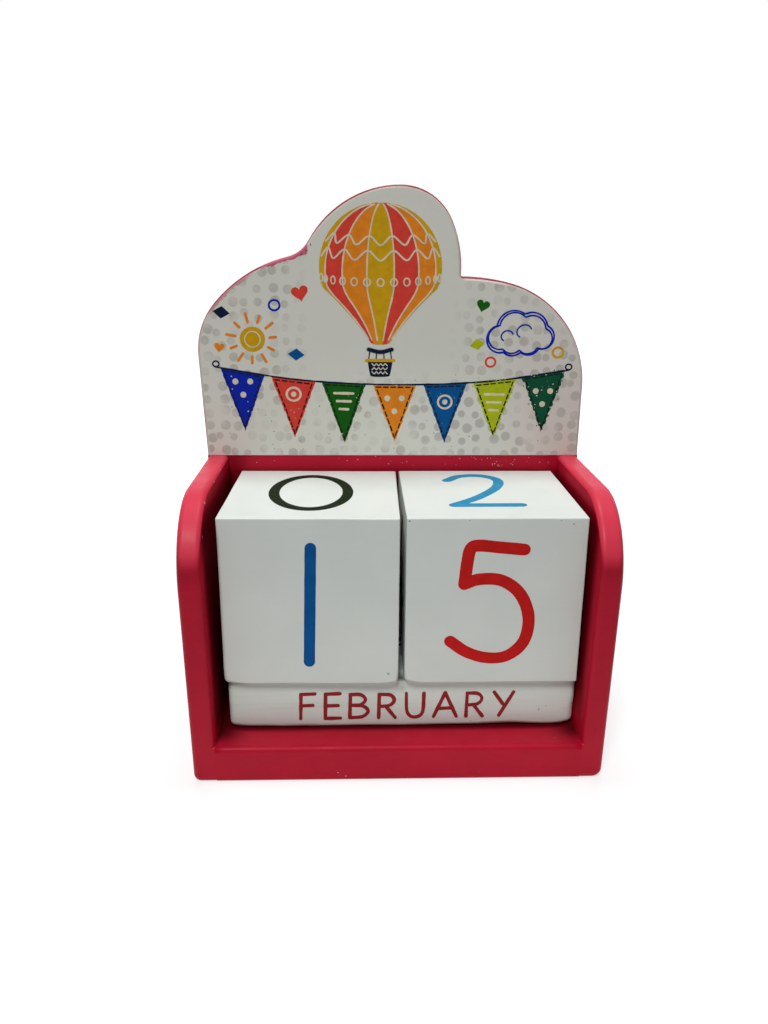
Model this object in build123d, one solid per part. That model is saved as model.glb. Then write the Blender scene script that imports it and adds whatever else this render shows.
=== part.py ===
"""Perpetual desk calendar: a painted wooden tray with a shaped header, two number cubes and three month bars.

Frame: millimetres, +Z up, the front of the tray towards -Y, the origin at the middle of the footprint on the
surface that it stands on. Every piece is its own solid, or group of like solids, in parts/NODE.step.
"""

import os
from math import cos, radians, tan

from build123d import *

# ---- driving dimensions ---------------------------------------------------------------------------
FOOT_WIDTH = 106.6         # over the two side panels, at the bottom
SPLAY = 1.0                # degrees: each side panel leans out from the upright
TRAY_DEPTH = 60.0          # front of the tray to the rear face of the back board
BOARD = 6.0                # thickness of the side panels and of the back board
BASE_THICKNESS = 10.0      # floor of the tray
SIDE_HEIGHT = 74.0         # top edge of the side panels
SIDE_CORNER_RADIUS = 20.5  # rounded top front corner of each side panel
TOTAL_HEIGHT = 148.8       # crown of the header

CUBE = 45.4                # edge of a number cube
CUBE_GAP = 1.2             # between the two cubes
BAR_HEIGHT = 14.0
BAR_DEPTH = 14.45
BAR_LENGTH = 92.2
BAR_GAP = 0.1              # between one month bar and the next
SEAT_GAP = 0.05            # under the bars and under the cubes
BAR_BACK_GAP = 0.7         # rear month bar to the back board
CUBE_BACK_GAP = 0.8        # cubes to the back board
CUBE_SHIFT = 0.8           # the pair of cubes stands this far right of the middle
BAR_SHIFT = 1.2            # the bars lie this far right of the middle
LEFT_CUBE_TWIST = -0.9     # degrees: the left cube stands a little askew

EASED = 0.8                # sanded radius round the front of the header
SIDE_EASED = 1.5           # and round the side panels
BASE_EASED = 1.2           # and along the front of the base board
REAR_CHAMFER = 0.6         # round the rear face of the back board
CUBE_EASED = 1.2
BAR_CORNER = 2.0           # rounded corners of a month bar, seen from the front
BAR_CHAMFER = 0.5          # round its front and back faces
FOOT_RADIUS = {-1: 2.0, 1: 2.6}  # outer bottom corner on the left and on the right

SHEET = 0.3                # thickness of the printed sheet on the header
SHEET_LIFT = 0.15          # side panels' top edges to the foot of the sheet

BRAD_WIRE = (1.25, 1.0)    # 18 gauge brads are of flat wire
BRAD_HEAD = (2.0, 1.25)
BRAD_HEAD_DEPTH = 0.6
BRAD_LENGTH = 16.0
BRAD_POINT = 1.5           # length of the chisel point
SIDE_BRADS_Y = (-16.0, 10.0)
BACK_BRADS_X = (-36.0, 0.0, 36.0)  # into the base board
BACK_BRADS_Z = (28.0, 58.0)        # into each side panel

# ---- header outline, as (x, z) --------------------------------------------------------------------
# Each run of points is joined by arcs that are tangent to one another.
CROWN = (1.3, TOTAL_HEIGHT)
DOME_LEFT = [(-24.0, 134.3), (-29.8, 130.0), (-50.7, 117.3), (-55.8, 102.4)]  # soft notch, then shoulder
DOME_RIGHT = [(15.5, 139.6), (18.2, 124.9)]                                   # down to the sharp notch
RIGHT_SHOULDER = [(31.1, 123.5), (54.6, 93.0)]                                # on from the sharp notch
NOTCH_RADIUS = 0.5                                                            # inside the sharp notch

# ---- places worked out from them ------------------------------------------------------------------
FRONT = -TRAY_DEPTH / 2
REAR = TRAY_DEPTH / 2
BACK_FACE = REAR - BOARD                       # front face of the back board
BAR_BOTTOM = BASE_THICKNESS + SEAT_GAP
CUBE_BOTTOM = BAR_BOTTOM + BAR_HEIGHT + SEAT_GAP
CUBE_MIDDLE_Y = BACK_FACE - CUBE_BACK_GAP - CUBE / 2
REAR_BAR_Y = BACK_FACE - BAR_BACK_GAP - BAR_DEPTH / 2
BAR_PITCH = BAR_DEPTH + BAR_GAP
LEVEL_BOARD = BOARD / cos(radians(SPLAY))      # thickness of a side panel, measured level
NEAR = 0.01                                    # tolerance when edges are picked by their place


def half_width(z):
    """Middle of the tray to the outer face of a side panel, at height z."""
    return FOOT_WIDTH / 2 + z * tan(radians(SPLAY))


def upright(face, y_front, y_rear):
    """Solid cut to a face that is drawn as (x, z), from y_front back to y_rear."""
    middle = (y_front + y_rear) / 2
    return extrude(Plane.XZ.offset(-middle) * face, (y_rear - y_front) / 2, both=True)


def tangent_arcs(start, heading, points):
    """Arcs from start through the points, each tangent to the last; heading is the first direction."""
    arcs = []
    for point in points:
        arc = TangentArc(start, point, tangent=heading)
        arcs.append(arc)
        start, heading = point, arc % 1
    return arcs


# ---- tray -----------------------------------------------------------------------------------------
def header_face():
    """Header above the tray: two round shoulders of unequal height and an off-centre dome."""
    left_foot = (-half_width(SIDE_HEIGHT), SIDE_HEIGHT)
    right_foot = (half_width(SIDE_HEIGHT), SIDE_HEIGHT)
    sharp_notch = DOME_RIGHT[-1]
    edges = tangent_arcs(CROWN, (-1, 0), DOME_LEFT)
    edges += [Line(DOME_LEFT[-1], left_foot), Line(left_foot, right_foot)]
    edges += [Line(right_foot, RIGHT_SHOULDER[-1])]
    edges += tangent_arcs(sharp_notch, (1, 0), RIGHT_SHOULDER)
    edges += tangent_arcs(CROWN, (1, 0), DOME_RIGHT)
    face = make_face(edges)
    notch = face.vertices().sort_by_distance(Vector(*sharp_notch))[0]
    return fillet(notch, NOTCH_RADIUS)


def round_foot(board):
    """Round the outer bottom edges that run from front to back, each side by its own radius."""
    for side, radius in FOOT_RADIUS.items():
        outer = side * half_width(0)
        foot = [e for e in board.edges() if e.center().Z < NEAR and abs(e.center().X - outer) < NEAR]
        if foot:
            board = fillet(foot, radius)
    return board


def back_board():
    """Full-height back board: it closes the back of the tray and carries on up as the header."""
    header = upright(header_face(), BACK_FACE, REAR)
    rim = [e for e in header.edges() if e.center().Y < BACK_FACE + NEAR and e.center().Z > SIDE_HEIGHT + NEAR]
    header = fillet(rim, EASED)
    foot, top = half_width(0), half_width(SIDE_HEIGHT)
    corners = [(-foot, 0), (foot, 0), (top, SIDE_HEIGHT), (-top, SIDE_HEIGHT)]
    tray_back = make_face(Polyline(*corners, close=True))
    lower = round_foot(upright(tray_back, BACK_FACE, REAR))
    board = (header + lower).clean()
    return chamfer([e for e in board.edges() if e.center().Y > REAR - NEAR], REAR_CHAMFER)


def side_panel(side):
    """Side panel, -1 for the left one and 1 for the right one: a squared board that leans out from its foot.

    Its front, rounded corner and top are eased on both faces, but not where the base board butts against it.
    """
    below_foot = BOARD                         # spare length, trimmed level once the board leans
    length = SIDE_HEIGHT / cos(radians(SPLAY))
    middle = ((FRONT + BACK_FACE) / 2, (length - below_foot) / 2)
    profile = Pos(*middle) * Rectangle(BACK_FACE - FRONT, length + below_foot)
    corner = profile.vertices().sort_by_distance(Vector(FRONT, length))[0]
    profile = fillet(corner, SIDE_CORNER_RADIUS)
    panel = extrude(Plane.YZ * profile, -BOARD).rotate(Axis.Y, SPLAY)
    panel = panel.moved(Location((half_width(0), 0, 0)))
    if side < 0:
        panel = mirror(panel, about=Plane.YZ)

    foot = panel & Pos(0, 0, BASE_THICKNESS / 2) * Box(2 * FOOT_WIDTH, 2 * TRAY_DEPTH, BASE_THICKNESS)
    foot = round_foot(foot)
    foot = fillet([e for e in foot.edges() if on_rim(e) and is_outer(e)], SIDE_EASED)
    upper = panel & Pos(0, 0, BASE_THICKNESS + length / 2) * Box(2 * FOOT_WIDTH, 2 * TRAY_DEPTH, length)
    upper = fillet([e for e in upper.edges() if on_rim(e)], SIDE_EASED)
    return foot + upper


def on_rim(edge):
    """True for an edge round the front, the curve or the top of a side panel, on either broad face."""
    c = edge.center()
    runs_across = abs(edge.tangent_at(0.5).X) > 0.99
    return not runs_across and (c.Y < FRONT + SIDE_CORNER_RADIUS - NEAR or c.Z > SIDE_HEIGHT - NEAR)


def is_outer(edge):
    """True for an edge on the outer half of a side panel."""
    return abs(edge.center().X) > half_width(0) - BOARD / 2


def base_board():
    """Floor of the tray, between the side panels, its front edge flush with theirs."""
    bottom, top = half_width(0) - LEVEL_BOARD, half_width(BASE_THICKNESS) - LEVEL_BOARD
    corners = [(-bottom, 0), (bottom, 0), (top, BASE_THICKNESS), (-top, BASE_THICKNESS)]
    section = make_face(Polyline(*corners, close=True))
    board = upright(section, FRONT, BACK_FACE)
    front_edges = [e for e in board.edges() if e.center().Y < FRONT + NEAR and abs(e.center().X) < NEAR]
    return fillet(front_edges, BASE_EASED)


def header_print_sheet():
    """Thin printed sheet glued on the front of the header, inside its rounded rim."""
    outline = offset(header_face(), -EASED, kind=Kind.INTERSECTION)
    foot = SIDE_HEIGHT + SHEET_LIFT
    width = 2 * (half_width(SIDE_HEIGHT) - EASED)
    outline += Pos(0, foot + EASED) * Rectangle(width, 2 * EASED)
    return upright(outline, BACK_FACE - SHEET, BACK_FACE)


# ---- brads that pin the glued joints --------------------------------------------------------------
def brad(head_centre, axis, angle):
    """Brad with its flat head centred on head_centre, its shank turned from -Z about the axis."""
    top = (Align.CENTER, Align.CENTER, Align.MAX)
    head = Box(*BRAD_HEAD, BRAD_HEAD_DEPTH, align=top)
    shank = Box(*BRAD_WIRE, BRAD_LENGTH, align=top)
    tip = [e for e in shank.edges() if e.center().Z < NEAR - BRAD_LENGTH and abs(e.center().X) > NEAR]
    shank = chamfer(tip, BRAD_POINT, BRAD_WIRE[0] / 3)
    return (head + shank).rotate(axis, angle).moved(Location(head_centre))


def back_brads():
    """Three brads through the back board into the base board and two into each side panel."""
    places = [(x, BASE_THICKNESS / 2) for x in BACK_BRADS_X]
    places += [(side * (half_width(z) - BOARD / 2), z) for side in (-1, 1) for z in BACK_BRADS_Z]
    return [brad((x, REAR, z), Axis.X, -90) for x, z in places]


def side_brads(side):
    """Two brads through a side panel, square to its outer face, into the end of the base board."""
    z = BASE_THICKNESS / 2
    x = side * half_width(z)
    return [brad((x, y, z), Axis.Y, side * (90 + SPLAY)) for y in SIDE_BRADS_Y]


# ---- loose blocks ---------------------------------------------------------------------------------
def number_cube(side):
    """Number cube, -1 for the left one and 1 for the right one, eased on all its edges."""
    middle_x = CUBE_SHIFT + side * (CUBE + CUBE_GAP) / 2
    cube = fillet(Box(CUBE, CUBE, CUBE).edges(), CUBE_EASED)
    if side < 0:
        cube = cube.rotate(Axis.Z, LEFT_CUBE_TWIST)
    return cube.moved(Location((middle_x, CUBE_MIDDLE_Y, CUBE_BOTTOM + CUBE / 2)))


def month_bar(rank):
    """Month bar; rank 0 lies at the back of the tray and rank 2 at the front, where it shows."""
    middle_y = REAR_BAR_Y - rank * BAR_PITCH
    bar = upright(RectangleRounded(BAR_LENGTH, BAR_HEIGHT, BAR_CORNER), -BAR_DEPTH / 2, BAR_DEPTH / 2)
    bar = chamfer(bar.faces().filter_by(Axis.Y).edges(), BAR_CHAMFER)
    return bar.moved(Location((BAR_SHIFT, middle_y, BAR_BOTTOM + BAR_HEIGHT / 2)))


# ---- all the pieces -------------------------------------------------------------------------------
def main():
    brads = {
        "back_brads": back_brads(),
        "left_side_brads": side_brads(-1),
        "right_side_brads": side_brads(1),
    }
    every_brad = [one for group in brads.values() for one in group]
    pieces = {
        "base_board": base_board() - every_brad,
        "left_side_panel": side_panel(-1) - every_brad,
        "right_side_panel": side_panel(1) - every_brad,
        "back_board": back_board() - every_brad,
        "header_print_sheet": header_print_sheet(),
        "number_cube_left": number_cube(-1),
        "number_cube_right": number_cube(1),
        "month_bar_rear": month_bar(0),
        "month_bar_middle": month_bar(1),
        "month_bar_front": month_bar(2),
    }
    for name, group in brads.items():
        pieces[name] = Compound(children=group)
    os.makedirs("parts", exist_ok=True)
    for name, piece in pieces.items():
        export_step(piece, f"parts/{name}.step")


if __name__ == "__main__":
    main()
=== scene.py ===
"""Looks of the perpetual desk calendar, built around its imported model.

Frame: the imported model's own, in metres, +Z up and the tray's front towards -Y. Shapes in this file are in
millimetres, and MM turns them into metres. Materials read a place in metres.
"""

from math import cos, exp, pi, radians, sin, tan
from random import Random

import bmesh
import bpy
from mathutils import Matrix, Vector, noise


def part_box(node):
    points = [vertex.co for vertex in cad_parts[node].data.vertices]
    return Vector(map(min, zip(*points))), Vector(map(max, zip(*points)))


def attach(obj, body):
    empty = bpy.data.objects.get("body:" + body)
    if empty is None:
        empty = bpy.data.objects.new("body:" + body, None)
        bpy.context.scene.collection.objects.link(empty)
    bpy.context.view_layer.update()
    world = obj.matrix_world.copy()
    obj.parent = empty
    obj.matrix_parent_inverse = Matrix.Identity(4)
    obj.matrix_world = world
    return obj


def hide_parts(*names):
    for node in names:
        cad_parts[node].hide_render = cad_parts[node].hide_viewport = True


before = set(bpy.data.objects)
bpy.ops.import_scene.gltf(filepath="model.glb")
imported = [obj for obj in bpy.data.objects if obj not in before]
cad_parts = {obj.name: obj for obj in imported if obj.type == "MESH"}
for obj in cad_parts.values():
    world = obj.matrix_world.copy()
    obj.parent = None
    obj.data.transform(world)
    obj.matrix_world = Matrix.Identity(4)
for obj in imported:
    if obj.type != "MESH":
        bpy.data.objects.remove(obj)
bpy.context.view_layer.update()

MM = 0.001

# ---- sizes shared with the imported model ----
CUBE = 45.4
CUBE_TWIST = {"left": -0.9, "right": 0.0}  # degrees about the upright
SHEET_FACE = 23.7  # y of the printed sheet's front
BACK_FACE = 24.0  # y of the back board's front
SPLAY = 1.0  # degrees that each side panel leans out
INNER_HALF = 47.3  # middle to a side panel's inner face, at the bottom
LEFT_SHOULDER = (-20.49, 91.13, 39.97)  # arcs of the header's outline: the middle's x and z, and the radius
RIGHT_SHOULDER = (18.20, 64.77, 60.13)

# ---- camera ----
IMAGE_WIDTH = 768
IMAGE_HEIGHT = 1024
FOCAL_PIXELS = 852.124
SENSOR = 36.0
CAMERA_PLACE = (-10.325, -220.608, 134.364)
CAMERA_PITCH = 17.6724  # degrees below the level
CAMERA_YAW = -1.7683
CAMERA_ROLL = 0.41

# ---- colours, linear ----
CRIMSON = (0.50, 0.007, 0.030)
# painted shade: crimson as if in shade, round the blocks, below the panels' paler edges and at the strip's
# left end
PAINTED_SHADE_CRIMSON = (0.16, 0.002, 0.007)
# painted shade in the base board's corners and along the front bar's foot
CREVICE_SHADE_CRIMSON = (0.060, 0.001, 0.003)
# painted light: the panels' up-facing edges paler and pinker
LIT_EDGE_CRIMSON = (0.68, 0.038, 0.076)
RIM_CRIMSON = (0.24, 0.014, 0.028)
# thin paint on the header's rim, wider on up-facing edges as a painted highlight
THIN_CRIMSON_AND_HIGHLIGHT = (0.66, 0.24, 0.29)
SMEAR_PINK = (0.54, 0.13, 0.20)
EDGE_HIGHLIGHT = (0.93, 0.83, 0.82)
# filler on the header's rim, wider on up-facing edges as a painted highlight
FILLER_AND_HIGHLIGHT_WHITE = (0.70, 0.655, 0.60)
BLOCK_WHITE = (0.76, 0.81, 0.77)
BLOCK_GRAIN = (0.70, 0.70, 0.64)
BAR_WHITE = (0.77, 0.86, 0.80)
BAR_STREAK = (0.62, 0.64, 0.58)
BAR_END_PINK = (0.62, 0.40, 0.38)
# painted shade along the month bars' foot
BAR_FOOT_SHADE = (0.30, 0.20, 0.15)
# painted shade under the gap between the cubes
GAP_SHADE_GREY = (0.34, 0.33, 0.31)
GAP_SHADE_DARK = (0.09, 0.085, 0.075)
SHEET_WHITE = (0.755, 0.76, 0.685)
SHEET_PINK = (0.73, 0.675, 0.625)
SPOT_GREY = (0.50, 0.485, 0.44)
INKS = {
    "mustard": (0.70, 0.40, 0.010),
    "orange": (0.88, 0.27, 0.020),
    "coral": (0.80, 0.065, 0.045),
    "navy": (0.005, 0.013, 0.040),
    "royal": (0.006, 0.025, 0.450),
    "green": (0.009, 0.115, 0.008),
    "lime": (0.490, 0.570, 0.015),
    "blue": (0.004, 0.100, 0.330),
    "sky": (0.030, 0.275, 0.475),
    "pine": (0.006, 0.085, 0.040),
    "red": (0.620, 0.016, 0.014),
    "brick": (0.330, 0.026, 0.030),
    "bottle": (0.007, 0.015, 0.005),
    "black": (0.010, 0.013, 0.006),
    "cream": (0.800, 0.720, 0.550),
    "paper": (0.680, 0.680, 0.620),
    "chip": (0.760, 0.270, 0.310),
    "speck": (0.740, 0.560, 0.500),
    "scuff": (0.110, 0.020, 0.045),
    "ding": (0.420, 0.450, 0.410),
    "pit": (0.110, 0.110, 0.090),
    "nib": (0.560, 0.030, 0.050),
    "grey": (0.420, 0.420, 0.380),
}


# ---- geometry helpers ----
class Face:
    """A flat place to print on: u runs to its right, v up it and w out of it, in millimetres."""

    def __init__(self, origin, right, up, turn=0.0):
        spin = Matrix.Rotation(radians(turn), 3, "Z")
        self.origin = Vector(origin)
        self.right = spin @ Vector(right)
        self.up = spin @ Vector(up)
        self.out = self.right.cross(self.up)

    def at(self, u, v, w=0.0):
        return (self.origin + self.right * u + self.up * v + self.out * w) * MM


def block_faces(centre, half, turn=0.0):
    """The six faces of a block, by name, each with its middle as origin."""
    ways = {
        "front": ((1, 0, 0), (0, 0, 1), half[1]),
        "back": ((-1, 0, 0), (0, 0, 1), half[1]),
        "left": ((0, -1, 0), (0, 0, 1), half[0]),
        "right": ((0, 1, 0), (0, 0, 1), half[0]),
        "top": ((1, 0, 0), (0, 1, 0), half[2]),
        "bottom": ((1, 0, 0), (0, -1, 0), half[2]),
    }
    faces = {}
    for name, (right, up, reach) in ways.items():
        face = Face(centre, right, up, turn)
        face.origin = face.origin + face.out * reach
        faces[name] = face
    return faces


def smooth_path(points, steps=7):
    """A curve through the points; it closes on itself if the last point is the first."""
    points = [Vector(p) for p in points]
    if len(points) == 2:
        return [points[0].lerp(points[1], i / steps) for i in range(steps + 1)]
    if points[0] == points[-1]:
        padded = [points[-2]] + points + [points[1]]
    else:
        padded = [2 * points[0] - points[1]] + points + [2 * points[-1] - points[-2]]
    path = []
    for before, a, b, after in zip(padded, padded[1:], padded[2:], padded[3:]):
        for i in range(steps):
            t = i / steps
            path.append(
                0.5 * (2 * a + (b - before) * t + (2 * before - 5 * a + 4 * b - after) * t ** 2
                       + (3 * a - before - 3 * b + after) * t ** 3)
            )
    return path + [points[-1]]


def spun(x, y, degrees):
    """A flat point turned about the middle."""
    c, s = cos(radians(degrees)), sin(radians(degrees))
    return x * c - y * s, x * s + y * c


def ellipse(u, v, across, height, steps=28, turn=0.0):
    """Points round an ellipse, the first one repeated at the end."""
    points = []
    for i in range(steps + 1):
        a = 2 * pi * (i % steps) / steps
        x, y = spun(across * cos(a), height * sin(a), turn)
        points.append((u + x, v + y))
    return points


def add_skin(bm, rings, material=0, closed=False):
    """Faces between rings of points that follow one another, capped at both ends unless closed."""
    rings = [[bm.verts.new(p) for p in ring] for ring in rings]
    pairs = list(zip(rings, rings[1:]))
    made = []
    if closed:
        pairs.append((rings[-1], rings[0]))
    else:
        made += [bm.faces.new(rings[0][::-1]), bm.faces.new(rings[-1])]
    for a, b in pairs:
        for i in range(len(a)):
            j = (i + 1) % len(a)
            made.append(bm.faces.new((a[i], a[j], b[j], b[i])))
    for f in made:
        f.material_index = material


SINK = -0.02  # how far a print reaches into what it is printed on
SAME_PLACE = 1e-6
CAP_STEPS = 5  # stations in a stroke's round end, which stops just short of its tip
CAP_TURN = radians(84)


def add_ribbon(bm, face, path, width, height=0.03, material=0, uneven=0.03):
    """A printed stroke along the path: a thin band with round ends, or a ring if the path is closed."""
    path = [Vector(p) for p in path]
    closed = (path[0] - path[-1]).length < SAME_PLACE
    if closed:
        path = path[:-1]
    count = len(path)
    stations = []
    for i, p in enumerate(path):
        before = path[i - 1] if closed or i else p
        after = path[(i + 1) % count] if closed or i < count - 1 else p
        stations.append((p, (after - before).normalized(), 1.0))
    if not closed:
        (start, first_way, _), (end, last_way, _) = stations[0], stations[-1]
        for k in range(1, CAP_STEPS + 1):
            a = CAP_TURN * k / CAP_STEPS
            stations.insert(0, (start - first_way * width / 2 * sin(a), first_way, cos(a)))
            stations.append((end + last_way * width / 2 * sin(a), last_way, cos(a)))
    rings = []
    for i, (p, way, share) in enumerate(stations):
        side = Vector((way.y, -way.x))
        wobble = 1 + uneven * noise.noise(Vector((p.x * 0.5, p.y * 0.5, width * 7.3)))
        reach = width / 2 * share * wobble
        lift = height * (1 + 0.25 * i / len(stations))   # a stroke that crosses itself lies on its own start
        ring = []
        for across, level in ((-1, SINK), (-0.97, lift), (0.97, lift), (1, SINK)):
            q = p + side * reach * across
            ring.append(face.at(q.x, q.y, level))
        rings.append(ring)
    add_skin(bm, rings, material, closed)


def add_patch(bm, face, outline, height=0.02, material=0):
    """A printed patch: the outline filled, as a thin closed plate."""
    if (Vector(outline[0]) - Vector(outline[-1])).length < SAME_PLACE:
        outline = outline[:-1]
    add_skin(bm, [[face.at(u, v, level) for u, v in outline] for level in (SINK, height)], material)


def add_fleck(bm, face, u, v, across, height, rng, rise=0.05, material=0, turn=0.0):
    """An irregular speck: a low dome of paint or bare wood."""
    sides = 9
    rings = []
    for share, level in ((1.0, SINK), (0.8, rise * 0.6), (0.35, rise)):
        ring = []
        for i in range(sides):
            a = 2 * pi * i / sides
            reach = share * (0.5 if share < 1 else rng.uniform(0.38, 0.56))
            x, y = spun(across * reach * cos(a), height * reach * sin(a), turn)
            ring.append(face.at(u + x, v + y, level))
        rings.append(ring)
    add_skin(bm, rings, material)


def finish_piece(name, bm, materials, body, smooth=False):
    """Turn the mesh under construction into a piece that rides on a body."""
    bmesh.ops.recalc_face_normals(bm, faces=bm.faces)
    mesh = bpy.data.meshes.new(name)
    bm.to_mesh(mesh)
    bm.free()
    for material in materials:
        mesh.materials.append(material)
    if smooth:
        mesh.polygons.foreach_set("use_smooth", [True] * len(mesh.polygons))
    piece = bpy.data.objects.new(name, mesh)
    bpy.context.scene.collection.objects.link(piece)
    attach(piece, body)
    return piece


# ---- material helpers ----
class Nodes:
    """Lays out the nodes of one material or world."""

    def __init__(self, owner):
        owner.use_nodes = True
        self.tree = owner.node_tree
        self.tree.nodes.clear()

    def add(self, kind, inputs=None, **settings):
        node = self.tree.nodes.new(kind)
        for key, value in settings.items():
            setattr(node, key, value)
        for key, value in (inputs or {}).items():
            socket = node.inputs[key]
            if isinstance(value, bpy.types.NodeSocket):
                self.tree.links.new(value, socket)
            elif isinstance(value, tuple) and len(value) == 3 and socket.type == "RGBA":
                socket.default_value = (*value, 1.0)
            else:
                socket.default_value = value
        return node

    def place(self):
        """Position on the piece, in metres."""
        return self.add("ShaderNodeTexCoord").outputs["Object"]

    def axes(self):
        """The position's x, y and z."""
        parts = self.add("ShaderNodeSeparateXYZ", {0: self.place()})
        return [parts.outputs[axis] for axis in "XYZ"]

    def facing_up(self):
        """How far the surface faces up: 1 on a level top, and 0 on an upright side."""
        normal = self.add("ShaderNodeTexCoord").outputs["Normal"]
        return self.add("ShaderNodeSeparateXYZ", {0: normal}).outputs["Z"]

    def noise(self, scale, detail=3.0):
        """Noise over the piece. A scale of three numbers stretches it, for patterns with a grain."""
        place = self.place()
        if isinstance(scale, tuple):
            place = self.add("ShaderNodeVectorMath", {0: place, 1: scale}, operation="MULTIPLY").outputs[0]
            scale = 1.0
        inputs = {"Vector": place, "Scale": scale, "Detail": detail, "Roughness": 0.55}
        return self.add("ShaderNodeTexNoise", inputs).outputs[0]

    def ranged(self, value, low, high, to_low=0.0, to_high=1.0):
        """The value's run from low to high, eased into to_low to to_high and held there."""
        inputs = {"Value": value, "From Min": low, "From Max": high, "To Min": to_low, "To Max": to_high}
        return self.add("ShaderNodeMapRange", inputs, interpolation_type="SMOOTHSTEP").outputs[0]

    def patches(self, scale, low=0.3, high=0.7, to_low=0.0, to_high=1.0, detail=3.0):
        """Noise whose run from low to high is eased into soft patches."""
        return self.ranged(self.noise(scale, detail), low, high, to_low, to_high)

    def math(self, operation, a, b):
        return self.add("ShaderNodeMath", {0: a, 1: b}, operation=operation).outputs[0]

    def times(self, product, *shares):
        for share in shares:
            product = self.math("MULTIPLY", product, share)
        return product

    def off(self, value, middle=0.0):
        """How far the value is from middle, on either side of it."""
        return self.math("ABSOLUTE", self.math("SUBTRACT", value, middle), 0.0)

    def blend(self, share, a, b):
        """Colour a where share is 0 and colour b where it is 1."""
        node = self.add("ShaderNodeMix", {"Factor": share}, data_type="RGBA")
        for name, value in (("A", a), ("B", b)):
            socket = [s for s in node.inputs if s.name == name and s.type == "RGBA"][0]
            if isinstance(value, bpy.types.NodeSocket):
                self.tree.links.new(value, socket)
            else:
                socket.default_value = (*value, 1.0)
        return [s for s in node.outputs if s.type == "RGBA"][0]

    def cloudy(self, color, darker, lighter, scale, high=0.7, detail=3.0):
        """The colour in soft clouds, between two shades of it."""
        share = self.patches(scale, high=high, detail=detail)
        return self.blend(share, shade(color, darker), shade(color, lighter))

    def surface(self, shader):
        self.add("ShaderNodeOutputMaterial", {"Surface": shader})


def shade(color, factor):
    return tuple(min(1.0, c * factor) for c in color)


def paint_material(name, build_color, roughness, specular, relief, matt_where=None):
    """Paint: build_color(nodes) gives its colour, and relief is (scale, depth) pairs of its surface grain.

    Depths are in millimetres, and a scale of three numbers stretches the grain. matt_where(nodes) is 1 where
    the paint has no sheen at all.
    """
    material = bpy.data.materials.new(name)
    nodes = Nodes(material)
    inputs = {
        "Base Color": build_color(nodes),
        "Roughness": nodes.patches(160.0, to_low=roughness - 0.05, to_high=roughness + 0.06),
        "Specular IOR Level": specular,
    }
    for scale, depth in relief:
        bump = {"Height": nodes.noise(scale, 2.0), "Strength": 1.0, "Distance": depth * MM}
        if "Normal" in inputs:
            bump["Normal"] = inputs["Normal"]
        inputs["Normal"] = nodes.add("ShaderNodeBump", bump).outputs[0]
    shader = nodes.add("ShaderNodeBsdfPrincipled", inputs).outputs[0]
    if matt_where is not None:
        matt = nodes.add("ShaderNodeBsdfPrincipled", {**inputs, "Specular IOR Level": 0.0}).outputs[0]
        shader = nodes.add("ShaderNodeMixShader", {0: matt_where(nodes), 1: shader, 2: matt}).outputs[0]
    nodes.surface(shader)
    return material


# ---- paints of the tray ----
# The photograph is darker round the blocks than the lamps make it, so the paint holds the rest of that
# shade. Pairs of limits are metres along one axis, over which a mark fades in.
FRONT_RIM = (0.0252, 0.0246)


def in_the_well(nodes, front=(-0.0298, -0.0290), top=(0.0748, 0.0744), foot=(0.0101, 0.0112)):
    """1 on the faces round the blocks, fading in over each pair of limits: y, and z from above and below."""
    x, y, z = nodes.axes()
    across = nodes.math("SUBTRACT", nodes.off(x), nodes.times(z, tan(radians(SPLAY))))
    inside = nodes.ranged(across, INNER_HALF * MM + 0.0008, INNER_HALF * MM + 0.0001)
    before_back = nodes.ranged(y, BACK_FACE * MM + 0.0006, BACK_FACE * MM + 0.0002)
    below_top = nodes.ranged(z, *top)
    return nodes.times(inside, nodes.ranged(y, *front), below_top, nodes.ranged(z, *foot), before_back)


def in_the_deep(nodes):
    """1 where the photograph is nearly black round the blocks, which reaches lower down on the left."""
    all_round = in_the_well(nodes, front=(-0.0280, -0.0225), top=(0.0725, 0.0655), foot=(0.0105, 0.0230))
    low_down = in_the_well(nodes, front=(-0.0286, -0.0236), top=(0.0320, 0.0200), foot=(0.0101, 0.0140))
    on_left = nodes.ranged(nodes.axes()[0], 0.0, -0.01)
    return nodes.math("MAXIMUM", all_round, nodes.times(low_down, on_left))


def mostly_matt(nodes):
    """Hardly any sheen on the faces round the blocks."""
    return nodes.times(in_the_well(nodes), 0.8)


def matt_arris(nodes):
    """Less sheen along the base board's front arris, and none at its ends."""
    x, y, z = nodes.axes()
    on_arris = nodes.times(nodes.ranged(y, -0.0280, -0.0288), nodes.ranged(z, 0.0084, 0.0090))
    return nodes.times(on_arris, nodes.ranged(nodes.off(x), 0.0450, 0.0470, 0.3, 1.0))


def crimson_color(nodes):
    """Tray paint: cloudy crimson, a little thinner here and there, and darker round the blocks with painted
    shade.
    """
    color = nodes.cloudy(CRIMSON, 0.93, 1.05, 45.0, high=0.72)
    streaks = nodes.patches((90.0, 900.0, 500.0), 0.45, 0.8, 0.0, 0.25, detail=2.0)
    color = nodes.blend(streaks, color, shade(CRIMSON, 1.18))
    return nodes.blend(in_the_deep(nodes), color, PAINTED_SHADE_CRIMSON)


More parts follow.
